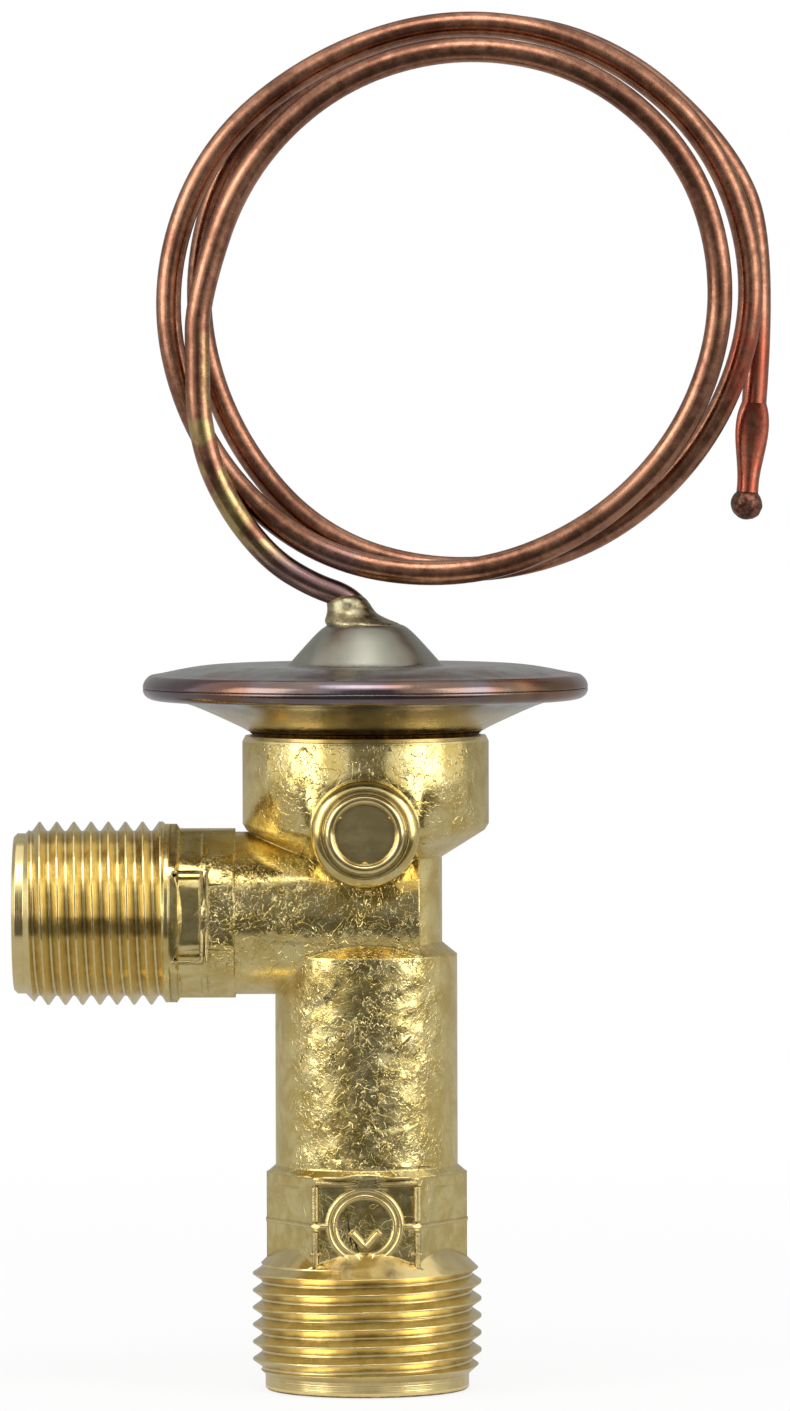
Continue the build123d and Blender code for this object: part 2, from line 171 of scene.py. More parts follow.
def drawn(name, points):
    # one vertex drawn out along the points, millimetres
    deselectAll()
    bpy.ops.mesh.primitive_plane_add(size=mm, location=(0, 0, 0))
    piece = named(name)
    startEdit(piece)
    bpy.ops.mesh.select_all(action="SELECT")
    bpy.ops.mesh.merge(type="CENTER")
    bpy.ops.transform.translate(value=Vector(points[0]) * mm)
    for before, here in zip(points, points[1:]):
        step = (Vector(here) - Vector(before)) * mm
        bpy.ops.mesh.extrude_region_move(TRANSFORM_OT_translate={"value": step})
    return piece


def spun(name, outline, steps):
    # closed outline in (radius, height), spun round Z
    points = [(r, 0, z) for r, z in outline]
    piece = drawn(name, points + points[:1])
    bpy.ops.mesh.select_all(action="SELECT")
    bpy.ops.mesh.spin(steps=steps, angle=math.tau, center=(0, 0, 0), axis=(0, 0, 1))
    bpy.ops.mesh.select_all(action="SELECT")
    bpy.ops.mesh.remove_doubles(threshold=weldReach)
    bpy.ops.mesh.normals_make_consistent(inside=False)
    endEdit()
    return piece


def roughen(piece, name, size, rise, level):
    # raised and sunk by a soft noise, sizes in millimetres
    texture = bpy.data.textures.new(name, "CLOUDS")
    texture.noise_scale = size * mm
    texture.noise_depth = 1
    modify(piece, "DISPLACE", texture=texture, texture_coords="LOCAL", strength=rise * mm, mid_level=level)


def ontoInlet(piece):
    # from the Z axis onto the inlet's axis
    piece.rotation_euler = (0, math.radians(-90), 0)
    piece.location = (0, 0, armHeight * mm)
    settle(piece)


# camera

view = {
    "place": (5.3155, -805.43, 86.93),
    "tilt": 90 - 1.938,
    "roll": 0.1616,
    "pan": 0.189,
    "lens": 235.65,
    "sensor": 36,        # along the render's height
}


def addCamera():
    deselectAll()
    bpy.ops.object.camera_add(location=Vector(view["place"]) * mm)
    camera = bpy.context.object
    camera.rotation_euler = [math.radians(view[name]) for name in ("tilt", "roll", "pan")]
    camera.data.lens = view["lens"]
    camera.data.sensor_width = view["sensor"]
    camera.data.clip_start = 0.05
    camera.data.clip_end = 20
    bpy.context.scene.camera = camera
    print("camera placed")


addCamera()


# node helpers

def addNode(tree, kind, inputs=None, **settings):
    made = tree.nodes.new("ShaderNode" + kind)
    for name, value in settings.items():
        setattr(made, name, value)
    for name, value in (inputs or {}).items():
        if isinstance(value, bpy.types.NodeSocket):
            tree.links.new(value, made.inputs[name])
        else:
            made.inputs[name].default_value = value
    return made


def calc(tree, operation, first, second=0.0, clamp=False):
    node = addNode(tree, "Math", {0: first, 1: second}, operation=operation, use_clamp=clamp)
    return node.outputs[0]


def ramp(tree, value, low, high, fromLow=0.0, toHigh=1.0):
    # smooth step of value between low and high
    limits = {"Value": value, "From Min": low, "From Max": high, "To Min": fromLow, "To Max": toHigh}
    return addNode(tree, "MapRange", limits, interpolation_type="SMOOTHSTEP").outputs["Result"]


def distance(tree, first, second):
    # length of the two taken as the sides of a right angle
    squares = [calc(tree, "MULTIPLY", value, value) for value in (first, second)]
    return calc(tree, "POWER", calc(tree, "ADD", *squares), 0.5)


def blendColours(tree, mask, first, second):
    return addNode(tree, "Mix", {0: mask, 6: first, 7: second}, data_type="RGBA").outputs[2]


def noise(tree, place, size, detail=3.0, roughness=0.55, distortion=0.0):
    # size in millimetres between the pattern's bumps
    inputs = {"Vector": place, "Scale": 1 / size, "Detail": detail, "Roughness": roughness,
              "Distortion": distortion}
    return addNode(tree, "TexNoise", inputs).outputs["Fac"]


def noiseAlong(tree, along, scale, detail):
    inputs = {"W": along, "Scale": scale, "Detail": detail}
    return addNode(tree, "TexNoise", inputs, noise_dimensions="1D").outputs["Fac"]


def newGroup(name, inputs, outputs):
    tree = bpy.data.node_groups.new(name, "ShaderNodeTree")
    for label, kind, value in inputs:
        socket = tree.interface.new_socket(label, in_out="INPUT", socket_type="NodeSocket" + kind)
        if value is not None:
            socket.default_value = value
    for label, kind in outputs:
        tree.interface.new_socket(label, in_out="OUTPUT", socket_type="NodeSocket" + kind)
    return tree, tree.nodes.new("NodeGroupInput").outputs, tree.nodes.new("NodeGroupOutput").inputs


def useGroup(tree, group, inputs):
    node = tree.nodes.new("ShaderNodeGroup")
    node.node_tree = group
    for name, value in inputs.items():
        if isinstance(value, bpy.types.NodeSocket):
            tree.links.new(value, node.inputs[name])
        else:
            node.inputs[name].default_value = value
    return node.outputs


# shared effects; every Place is in millimetres

hammering = {
    # size in millimetres, detail, roughness and distortion of each pattern
    "dents": (2.8, 1.0, 0.4, 0.4),
    "torn": (3.4, 2.0),
    "plates": (1.7, 2.0, 0.5, 0.7),
    "flakes": (0.75, 2.0, 0.5, 0.6),
    "chips": (0.40, 1.0, 0.5, 0.6),
    "grain": (0.15, 2.0, 0.6),
    "gentle": (5.0, 1.0, 0.4),
    "cells": (1.0, 3.0, 0.65, 1.0),
    "tone": (2.2, 4.0, 0.65, 0.5),
    # how deep each one goes, millimetres
    "depths": {"dents": 0.07, "plates": 0.065, "flakes": 0.07, "chips": 0.035, "grain": 0.002,
               "gentle": 0.08, "pits": 0.05},
}


def makeHammeredSkin():
    tree, given, out = newGroup(
        "hammeredSkin",
        [("Place", "Vector", None), ("Amount", "Float", 1.0)],
        [("Height", "Float"), ("Pits", "Float"), ("Tone", "Float")],
    )
    place, amount = given["Place"], given["Amount"]

    def pattern(name):
        return noise(tree, place, *hammering[name])

    def deep(name, value):
        return calc(tree, "MULTIPLY", value, hammering["depths"][name])

    dents = pattern("dents")
    torn = ramp(tree, pattern("torn"), 0.46, 0.60, 0.12, 1.0)
    plates = ramp(tree, pattern("plates"), 0.505, 0.522)
    flakes = ramp(tree, pattern("flakes"), 0.50, 0.53)
    chips = ramp(tree, pattern("chips"), 0.52, 0.60)
    grain = pattern("grain")
    broken = calc(tree, "ADD", deep("flakes", flakes), deep("chips", chips))
    coarse = calc(tree, "ADD", deep("dents", dents), deep("plates", plates))
    coarse = calc(tree, "ADD", coarse, calc(tree, "MULTIPLY", broken, torn))
    coarse = calc(tree, "MULTIPLY", coarse, amount)
    gentle = deep("gentle", pattern("gentle"))
    height = calc(tree, "ADD", calc(tree, "ADD", coarse, gentle), deep("grain", grain))
    pits = calc(tree, "MULTIPLY", ramp(tree, pattern("cells"), 0.655, 0.70), ramp(tree, amount, 0.2, 0.7))
    tree.links.new(calc(tree, "SUBTRACT", height, deep("pits", pits)), out["Height"])
    tree.links.new(pits, out["Pits"])
    tree.links.new(pattern("tone"), out["Tone"])
    return tree


def makeTurnedLines():
    # fine rings left by a cutting tool round the local Z axis
    tree, given, out = newGroup(
        "turnedLines",
        [("Place", "Vector", None), ("Pitch", "Float", 0.11)],
        [("Height", "Float"), ("Tone", "Float")],
    )
    parts = addNode(tree, "SeparateXYZ", {0: given["Place"]}).outputs
    across = distance(tree, parts[0], parts[1])
    along = calc(tree, "DIVIDE", calc(tree, "ADD", parts[2], across), given["Pitch"])
    lines = noiseAlong(tree, along, 1.0, 2.0)
    bands = noiseAlong(tree, along, 0.12, 1.0)
    tree.links.new(calc(tree, "MULTIPLY", lines, 0.012), out["Height"])
    tone = calc(tree, "ADD", calc(tree, "MULTIPLY", lines, 0.5), calc(tree, "MULTIPLY", bands, 0.5))
    tree.links.new(tone, out["Tone"])
    return tree


def makeShadeAndGrime():
    # painted shade: darker in corners and crevices that ambient occlusion finds, broken up by noise as grime
    tree, given, out = newGroup(
        "shadeAndGrime",
        [("Place", "Vector", None), ("Reach", "Float", 0.0012), ("Amount", "Float", 1.0)],
        [("Mask", "Float")],
    )
    open_ = addNode(tree, "AmbientOcclusion", {"Distance": given["Reach"]}, samples=8).outputs["AO"]
    closed = ramp(tree, open_, 0.75, 0.25)
    broken = ramp(tree, noise(tree, given["Place"], 0.9, 4.0, 0.7), 0.30, 0.62, 0.35, 1.0)
    mask = calc(tree, "MULTIPLY", calc(tree, "MULTIPLY", closed, broken), given["Amount"], True)
    tree.links.new(mask, out["Mask"])
    return tree


def makeScuffs():
    # stretched scratches and a patchy gloss
    tree, given, out = newGroup(
        "scuffs",
        [("Place", "Vector", None), ("Size", "Float", 1.0)],
        [("Height", "Float"), ("Patches", "Float")],
    )
    scaled = addNode(tree, "VectorMath", {0: given["Place"]}, operation="SCALE")
    tree.links.new(calc(tree, "DIVIDE", 1.0, given["Size"]), scaled.inputs["Scale"])
    stretched = addNode(tree, "Mapping", {"Vector": scaled.outputs[0], "Scale": (5.0, 1.0, 0.35)}).outputs[0]
    scratches = noise(tree, stretched, 0.5, 3.0, 0.7, 0.8)
    tree.links.new(calc(tree, "MULTIPLY", scratches, 0.006), out["Height"])
    tree.links.new(noise(tree, scaled.outputs[0], 1.6, 4.0, 0.6, 0.4), out["Patches"])
    return tree


hammeredSkin = makeHammeredSkin()
turnedLines = makeTurnedLines()
shadeAndGrime = makeShadeAndGrime()
scuffs = makeScuffs()


def newMaterial(name):
    material = bpy.data.materials.new(name)
    material.use_nodes = True
    tree = material.node_tree
    shader = tree.nodes["Principled BSDF"]
    coordinates = addNode(tree, "TexCoord").outputs["Object"]
    place = addNode(tree, "VectorMath", {0: coordinates, "Scale": 1000.0}, operation="SCALE").outputs[0]
    return material, tree, shader, place


def finishMetal(tree, shader, colour, roughness, height=None, bevel=0.0, metallic=1.0):
    # height and bevel in millimetres
    shader.inputs["Metallic"].default_value = metallic
    tree.links.new(colour, shader.inputs["Base Color"])
    tree.links.new(roughness, shader.inputs["Roughness"])
    normal = None
    if bevel:
        normal = addNode(tree, "Bevel", {"Radius": bevel * mm}, samples=6).outputs[0]
    if height is not None:
        bump = addNode(tree, "Bump", {"Height": height, "Distance": mm})
        if normal:
            tree.links.new(normal, bump.inputs["Normal"])
        normal = bump.outputs[0]
    if normal:
        tree.links.new(normal, shader.inputs["Normal"])


brass = {
    "skin": (0.80, 0.66, 0.30, 1),
    "skinDeep": (0.66, 0.50, 0.17, 1),
    "pit": (0.10, 0.055, 0.02, 1),
    "cut": (0.86, 0.70, 0.33, 1),
    "cutDeep": (0.76, 0.59, 0.26, 1),
    # colour of the painted shade in corners and crevices, partly grime
    "shadeAndGrime": (0.11, 0.07, 0.022, 1),
    "bevel": 0.22,
    "cutBevel": 0.07,
    # strength of the hammered skin: from and to, strength at from and at to
    "facing": (3.6, 6.6, 0.04, 1.0),             # towards the front and the back
    "patches": (0.34, 0.60, 0.55, 1.0),
    "outletHexagon": (19.0, 20.0, 0.22, 1.0),
    "inletHexagon": (-14.4, -13.8, 0.10, 1.0),
    "collar": (48.0, 45.5, 0.55, 1.0),
    "portBoss": (4.6, 5.3, 0.03, 1.0),
    "armFrom": -11.0,                            # turned lines beyond it go round the inlet's axis
    "portFace": -11.3,                           # none in front of it
}


def makeForgedBrass():
    material, tree, shader, place = newMaterial("forgedBrass")
    parts = addNode(tree, "SeparateXYZ", {0: place}).outputs
    facing = ramp(tree, calc(tree, "ABSOLUTE", parts[1]), *brass["facing"])
    patches = ramp(tree, noise(tree, place, 5.5, 2.0), *brass["patches"])
    amount = calc(tree, "MULTIPLY", facing, patches)
    # calmer on the two hexagons and the collar
    amount = calc(tree, "MULTIPLY", amount, ramp(tree, parts[2], *brass["outletHexagon"]))
    amount = calc(tree, "MULTIPLY", amount, ramp(tree, parts[0], *brass["inletHexagon"]))
    amount = calc(tree, "MULTIPLY", amount, ramp(tree, parts[2], *brass["collar"]))
    # the front port's boss was turned
    level = calc(tree, "SUBTRACT", parts[2], portHeight)
    fromPort = distance(tree, parts[0], level)
    amount = calc(tree, "MULTIPLY", amount, ramp(tree, fromPort, *brass["portBoss"]))
    skin = useGroup(tree, hammeredSkin, {"Place": place, "Amount": amount})
    # painted shade: darker in corners and crevices found by occlusion, partly grime
    shadeAndDirt = useGroup(tree, shadeAndGrime, {"Place": place, "Reach": 0.0010, "Amount": 0.6})["Mask"]
    tone = ramp(tree, skin["Tone"], 0.36, 0.66)
    colour = blendColours(tree, tone, brass["skinDeep"], brass["skin"])
    pits = calc(tree, "MULTIPLY", skin["Pits"], 0.85)
    colour = blendColours(tree, pits, colour, brass["pit"])
    colour = blendColours(tree, shadeAndDirt, colour, brass["shadeAndGrime"])
    roughness = ramp(tree, noise(tree, place, 1.1, 4.0, 0.7), 0.3, 0.7, 0.12, 0.24)
    roughness = calc(tree, "ADD", roughness, ramp(tree, facing, 0.9, 0.1, 0.0, 0.12))
    roughness = calc(tree, "ADD", roughness, calc(tree, "MULTIPLY", pits, 0.3))
    finishMetal(tree, shader, colour, roughness, skin["Height"], brass["bevel"])
    return material


def makeMachinedBrass():
    material, tree, shader, place = newMaterial("machinedBrass")
    parts = addNode(tree, "SeparateXYZ", {0: place}).outputs
    beyond = calc(tree, "LESS_THAN", parts[0], brass["armFrom"])
    turned = addNode(tree, "Mapping", {"Vector": place, "Location": (-armHeight, 0, 0),
                                       "Rotation": (0, math.radians(90), 0)}).outputs[0]
    local = addNode(tree, "Mix", {0: beyond, 4: place, 5: turned}, data_type="VECTOR").outputs[1]
    lines = useGroup(tree, turnedLines, {"Place": local, "Pitch": 0.10})
    marks = useGroup(tree, scuffs, {"Place": place, "Size": 1.2})
    # painted shade: darker in corners and crevices found by occlusion, partly grime
    shadeAndDirt = useGroup(tree, shadeAndGrime, {"Place": place, "Reach": 0.0011, "Amount": 0.85})["Mask"]
    tone = ramp(tree, calc(tree, "ADD", calc(tree, "MULTIPLY", lines["Tone"], 0.5),
                           calc(tree, "MULTIPLY", marks["Patches"], 0.5)), 0.38, 0.62)
    colour = blendColours(tree, tone, brass["cutDeep"], brass["cut"])
    colour = blendColours(tree, shadeAndDirt, colour, brass["shadeAndGrime"])
    roughness = ramp(tree, marks["Patches"], 0.3, 0.7, 0.13, 0.24)
    behindPort = calc(tree, "GREATER_THAN", parts[1], brass["portFace"])
    ringed = calc(tree, "MULTIPLY", lines["Height"], behindPort)
    height = calc(tree, "ADD", ringed, marks["Height"])
    finishMetal(tree, shader, colour, roughness, height, brass["cutBevel"])
    return material


steel = {
    "plain": (0.30, 0.295, 0.265, 1),
    "boss": (0.33, 0.325, 0.265, 1),
    "brown": (0.20, 0.095, 0.055, 1),
    "purple": (0.17, 0.12, 0.15, 1),
    "reflectedBrass": (0.60, 0.48, 0.24, 1),
    # gold of the painted reflection of the brass body
    "orange": (0.50, 0.24, 0.10, 1),
    "bevel": 0.12,
    # where the colours lie: from and to, millimetres from the axis
    "bossEdge": (7.2, 6.4),
    "stainFrom": (11.0, 15.5),
    "weldFrom": (17.2, 18.8),
    "reflectedBrassFrom": (16.0, 12.5),
    "reflectedBrassBelow": (61.0, 60.2),       # this one by height
    "wander": 5.0,                   # how far the rings stray
}


def makeHeadSteel():
    # bare stainless sheet with the rings of colour that welding and brazing leave, a painted reflection of
    # the brass body under the rim and painted shade in its creases
    material, tree, shader, place = newMaterial("headSteel")
    parts = addNode(tree, "SeparateXYZ", {0: place}).outputs
    across = distance(tree, parts[0], parts[1])
    wander = calc(tree, "SUBTRACT", noise(tree, place, 6.0, 3.0, 0.6), 0.5)
    ring = calc(tree, "ADD", across, calc(tree, "MULTIPLY", wander, steel["wander"]))
    marks = useGroup(tree, scuffs, {"Place": place, "Size": 1.0})
    lines = useGroup(tree, turnedLines, {"Place": place, "Pitch": 0.16})
    colour = blendColours(tree, ramp(tree, across, *steel["bossEdge"]), steel["plain"], steel["boss"])
    stain = calc(tree, "MULTIPLY", ramp(tree, ring, *steel["stainFrom"]),
                 ramp(tree, noise(tree, place, 7.5, 2.0), 0.46, 0.62, 0.0, 0.8))
    colour = blendColours(tree, stain, colour, steel["brown"])
    weld = ramp(tree, ring, *steel["weldFrom"])
    hue = noise(tree, place, 16.0, 2.0, 0.5, 0.5)
    rimColour = blendColours(tree, ramp(tree, hue, 0.34, 0.46), steel["orange"], steel["brown"])
    rimColour = blendColours(tree, ramp(tree, hue, 0.46, 0.56), rimColour, steel["purple"])
    rimColour = blendColours(tree, ramp(tree, hue, 0.58, 0.72), rimColour, steel["plain"])
    colour = blendColours(tree, calc(tree, "MULTIPLY", weld, 0.7), colour, rimColour)
    # painted reflection: gold on the lower cup's outer underside, as if the brass body shone in it
    reflectedBrassShare = calc(tree, "MULTIPLY", ramp(tree, parts[2], *steel["reflectedBrassBelow"]),
                 ramp(tree, across, *steel["reflectedBrassFrom"]))
    colour = blendColours(tree, calc(tree, "MULTIPLY", reflectedBrassShare, 0.85), colour, steel["reflectedBrass"])
    # painted shade: purple darkening in corners and crevices found by occlusion, partly grime
    shadeAndDirt = useGroup(tree, shadeAndGrime, {"Place": place, "Reach": 0.0009, "Amount": 0.7})["Mask"]
    colour = blendColours(tree, shadeAndDirt, colour, steel["purple"])
    roughness = ramp(tree, marks["Patches"], 0.3, 0.7, 0.16, 0.28)
    roughness = calc(tree, "ADD", roughness, ramp(tree, across, 7.4, 6.2, 0.0, 0.14))
    roughness = calc(tree, "SUBTRACT", roughness, calc(tree, "MULTIPLY", weld, 0.07))
    height = calc(tree, "ADD", calc(tree, "MULTIPLY", lines["Height"], 0.5), marks["Height"])
    finishMetal(tree, shader, colour, roughness, height, steel["bevel"])
    return material


copper = {
    "bright": (0.46, 0.225, 0.136, 1),
    "deep": (0.21, 0.092, 0.055, 1),
    # dark colour of the painted shade between the strands, partly oxide
    "oxideAndShade": (0.07, 0.028, 0.016, 1),
    "yellow": (0.52, 0.40, 0.16, 1),
    "purple": (0.20, 0.13, 0.14, 1),
    "red": (0.42, 0.10, 0.06, 1),
    # where the stains lie: from and to, millimetres, share at from and at to
    "leftSide": (-4.0, -9.0),
    "belowCrossing": (94.0, 88.0),
    "front": (-1.2, -1.6),
    "nearHead": (75.0, 71.5),
    "nearAxis": (0.5, -1.5, 0.0, 0.8),
    "tailFrom": (31.0, 32.5),
    "tailBelow": (98.0, 90.0),
}


def makeCopper():
    material, tree, shader, place = newMaterial("drawnCopper")
    parts = addNode(tree, "SeparateXYZ", {0: place}).outputs
    marks = useGroup(tree, scuffs, {"Place": place, "Size": 0.8})
    broad = noise(tree, place, 9.0, 3.0, 0.6)
    fine = noise(tree, place, 0.8, 4.0, 0.7)
    both = calc(tree, "ADD", calc(tree, "MULTIPLY", broad, 0.6), calc(tree, "MULTIPLY", fine, 0.4))
    tone = ramp(tree, both, 0.38, 0.62)
    colour = blendColours(tree, tone, copper["deep"], copper["bright"])
    # staining along the lead, near the braze and at the heated tail
    leftSide = ramp(tree, parts[0], *copper["leftSide"])
    lead = calc(tree, "MULTIPLY", leftSide, ramp(tree, parts[2], *copper["belowCrossing"]))
    stained = calc(tree, "MULTIPLY", lead, ramp(tree, noise(tree, place, 2.6, 3.0), 0.42, 0.58, 0.0, 0.75))
    nearFront = ramp(tree, parts[1], *copper["front"])
    colour = blendColours(tree, calc(tree, "MULTIPLY", stained, nearFront), colour, copper["yellow"])
    nearHead = calc(tree, "MULTIPLY", ramp(tree, parts[2], *copper["nearHead"]),
                    ramp(tree, parts[0], *copper["nearAxis"]))
    colour = blendColours(tree, nearHead, colour, copper["purple"])
    tail = calc(tree, "MULTIPLY", ramp(tree, parts[0], *copper["tailFrom"]),
                ramp(tree, parts[2], *copper["tailBelow"]))
    reddened = calc(tree, "MULTIPLY", tail, ramp(tree, noise(tree, place, 1.8, 3.0), 0.35, 0.6, 0.35, 0.9))
    colour = blendColours(tree, reddened, colour, copper["red"])
    # painted shade: darker between the strands and in crevices found by occlusion, partly oxide and dirt
    shadeAndDirt = useGroup(tree, shadeAndGrime, {"Place": place, "Reach": 0.0016, "Amount": 0.9})["Mask"]
    colour = blendColours(tree, shadeAndDirt, colour, copper["oxideAndShade"])
    roughness = ramp(tree, marks["Patches"], 0.3, 0.7, 0.18, 0.34)
    finishMetal(tree, shader, colour, roughness, marks["Height"])
    return material


def makeBraze(name, light, dark, lump, shine):
    # metal that has run and set: lumpy, darker in its hollows with painted shade, partly flux
    material, tree, shader, place = newMaterial(name)
    spread = noise(tree, place, lump, 4.0, 0.6, 0.8)
    # painted shade: darker in hollows found by occlusion, partly flux
    shadeAndDirt = useGroup(tree, shadeAndGrime, {"Place": place, "Reach": 0.0008, "Amount": 0.9})["Mask"]
    colour = blendColours(tree, ramp(tree, spread, 0.40, 0.62), dark, light)
    colour = blendColours(tree, shadeAndDirt, colour, brass["shadeAndGrime"])
    roughness = ramp(tree, noise(tree, place, lump * 0.5, 3.0), 0.3, 0.7, shine, shine + 0.18)
    height = calc(tree, "MULTIPLY", noise(tree, place, lump * 0.6, 3.0, 0.6, 0.6), 0.07)
    finishMetal(tree, shader, colour, roughness, height)
    return material


def makePlainMetal(name, light, dark, shine, pitch=0.2):
    # turned or drawn small parts
    material, tree, shader, place = newMaterial(name)
    marks = useGroup(tree, scuffs, {"Place": place, "Size": 0.9})
    lines = useGroup(tree, turnedLines, {"Place": place, "Pitch": pitch})
    # painted shade: darker in corners and crevices found by occlusion, partly grime
    shadeAndDirt = useGroup(tree, shadeAndGrime, {"Place": place, "Reach": 0.0008, "Amount": 0.8})["Mask"]
    colour = blendColours(tree, ramp(tree, marks["Patches"], 0.38, 0.62), dark, light)
    colour = blendColours(tree, shadeAndDirt, colour, brass["shadeAndGrime"])
    roughness = ramp(tree, marks["Patches"], 0.3, 0.7, shine, shine + 0.14)
    height = calc(tree, "ADD", marks["Height"], calc(tree, "MULTIPLY", lines["Height"], 0.6))
    finishMetal(tree, shader, colour, roughness, height, 0.05)
    return material


rubber = {"black": (0.012, 0.012, 0.013, 1), "dusty": (0.035, 0.034, 0.033, 1)}


def makeRubber():
    material, tree, shader, place = newMaterial("sealRubber")
    dust = noise(tree, place, 0.5, 4.0, 0.7)
    colour = blendColours(tree, ramp(tree, dust, 0.4, 0.7), rubber["black"], rubber["dusty"])
    roughness = ramp(tree, dust, 0.3, 0.7, 0.45, 0.65)
    height = calc(tree, "MULTIPLY", noise(tree, place, 0.12, 2.0), 0.01)
    finishMetal(tree, shader, colour, roughness, height, metallic=0.0)
    return material


screen = {
    "wire": (0.50, 0.49, 0.46, 1),
    "gap": (0.05, 0.045, 0.04, 1),
    "around": 24.0,         # waves to a turn
    "along": 14.0,          # radians to the millimetre
    "depth": -0.06,
}


def makeScreen():
    # woven wire screen, threads round and along the inlet's axis
    material, tree, shader, place = newMaterial("strainerScreen")
    moved = addNode(tree, "Mapping", {"Vector": place, "Location": (0, 0, -armHeight)}).outputs[0]
    parts = addNode(tree, "SeparateXYZ", {0: moved}).outputs
    around = calc(tree, "MULTIPLY", calc(tree, "ARCTAN2", parts[1], parts[2]), screen["around"])
    along = calc(tree, "MULTIPLY", parts[0], screen["along"])
    weave = calc(tree, "MULTIPLY", calc(tree, "SINE", around), calc(tree, "SINE", along))
    open_ = ramp(tree, weave, 0.1, 0.6)
    colour = blendColours(tree, open_, screen["wire"], screen["gap"])
    roughness = ramp(tree, noise(tree, place, 0.6), 0.3, 0.7, 0.25, 0.4)
    finishMetal(tree, shader, colour, roughness, calc(tree, "MULTIPLY", weave, screen["depth"]))
    return material


finishes = {
    "forged_brass": makeForgedBrass(),
    "machined_brass": makeMachinedBrass(),
    "stainless": makePlainMetal("brightStainless", (0.62, 0.60, 0.57, 1), (0.46, 0.44, 0.41, 1), 0.18),
    "head_steel": makeHeadSteel(),
    "spring_steel": makePlainMetal("springWire", (0.34, 0.33, 0.32, 1), (0.20, 0.19, 0.19, 1), 0.26, 0.4),
    "seal_rubber": makeRubber(),
    "copper": makeCopper(),
    "copper_braze": makeBraze("copperBraze", (0.60, 0.40, 0.18, 1), (0.22, 0.12, 0.05, 1), 0.9, 0.28),
    "silver_braze": makeBraze("silverBraze", (0.38, 0.34, 0.21, 1), (0.23, 0.19, 0.095, 1), 1.1, 0.26),
    "tip_braze": makeBraze("tipBraze", (0.25, 0.105, 0.075, 1), (0.08, 0.04, 0.026, 1), 0.7, 0.32),
    "screen": makeScreen(),
}
print("materials made:", len(finishes))


def dress(piece, slot, body="valve", *nodes):
    # finish, slot, body and the solids that the piece stands for
    if not piece.data.materials:
        piece.data.materials.append(finishes[slot])
    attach(piece, body)
    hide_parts(*nodes)


# valve body: cut threads and the raised marks of the forging die

outletThread = {"crestRadius": 10.0, "rootRadius": 9.2, "start": -0.42, "turns": 8}
inletThread = {"crestRadius": 8.0, "rootRadius": 7.2, "start": 17.23, "turns": 9}
threadForm = {
    "pitch": 1.5,
    "crestFlat": 0.14,
    "clear": 0.6,                    # the cutter stands this far outside the crest
    "rootEdge": (0.14, 0.22),        # above the root, half width
    "rootHalf": 0.09,
    "steps": 96,
}
inletStop = {"radius": 10, "depth": 15, "middle": 25}


def cutWith(body, tool, slot, operation="DIFFERENCE"):
    # the tool's finish stays on the faces that it makes
    tool.data.materials.clear()
    tool.data.materials.append(finishes[slot])
    cut(body, tool, operation)


def threadCutter(name, thread):
    half = (threadForm["pitch"] - threadForm["crestFlat"]) / 2
    crest, root = thread["crestRadius"], thread["rootRadius"]
    rise, edgeHalf = threadForm["rootEdge"]
    side = [(crest + threadForm["clear"], half), (crest, half), (root + rise, edgeHalf),
            (root, threadForm["rootHalf"])]
    outline = [(r, -h) for r, h in side] + [(r, h) for r, h in reversed(side)]
    points = [(r, 0, thread["start"] + h) for r, h in outline]
    piece = drawn(name, points + points[:1])
    bpy.ops.mesh.select_all(action="SELECT")
    bpy.ops.mesh.remove_doubles(threshold=weldReach)
    endEdit()
    modify(piece, "SCREW", axis="Z", angle=math.tau, screw_offset=threadForm["pitch"] * mm,
           iterations=thread["turns"], steps=threadForm["steps"], render_steps=threadForm["steps"])
    startEdit(piece)
    bpy.ops.mesh.select_all(action="SELECT")
    bpy.ops.mesh.fill_holes(sides=0)
    bpy.ops.mesh.select_all(action="SELECT")
    bpy.ops.mesh.normals_make_consistent(inside=False)
    endEdit()
    return piece


marks = {
    "face": 7.7,                            # the outlet's flats, from the axis
    "corner": 4.45,                         # half a flat's width
    "cornerLow": (10.9, 14.35, 0.19),       # ridge along a corner: from, to, radius
    "cornerHigh": (15.15, 18.3, 0.22),
    "ticks": (12.35, 10.96),
    "tick": (0.45, 0.14),                   # half its length, radius
    "topEdge": (18.55, 0.16),               # height, radius
    "ringPlace": (-0.13, 14.8),
    "rings": ((3.16, 0.20, 1.2), (2.60, 0.17, 0.0)),      # radius, section, lean in degrees
    "ringSegments": (72, 20),
    "flatten": 0.75,
    "chevron": ((-1.32, 14.3), (-0.12, 12.95), (1.08, 14.3)),
    "chevronRadius": 0.25,
}
panels = {
    # two edged panels on the inlet hexagon's front flat, with the die's line between them
    "face": 7.0,
    "radius": 0.13,
    "sides": ((-16.75, 37.9, 45.3), (-14.2, 37.7, 45.5), (-13.75, 37.7, 45.5)),     # x, from, to
    "edges": (37.68, 45.52),
    "edgeEnds": (-16.8, -14.1),
}
parting = {
    "height": 14.8,
    "rise": 0.15,
    "root": 0.5,             # how far inside the flat it starts
    "half": 0.30,
    "shoulder": (0.06, 0.14),
    "limit": 8.82,           # cut off here, just outside the hexagon's rounded corners
    "window": 3.2,
}
hexagonShare = math.cos(math.radians(30))
rodShape = {"sides": 20, "endInset": 0.45, "endRise": 0.35}      # shares of its radius


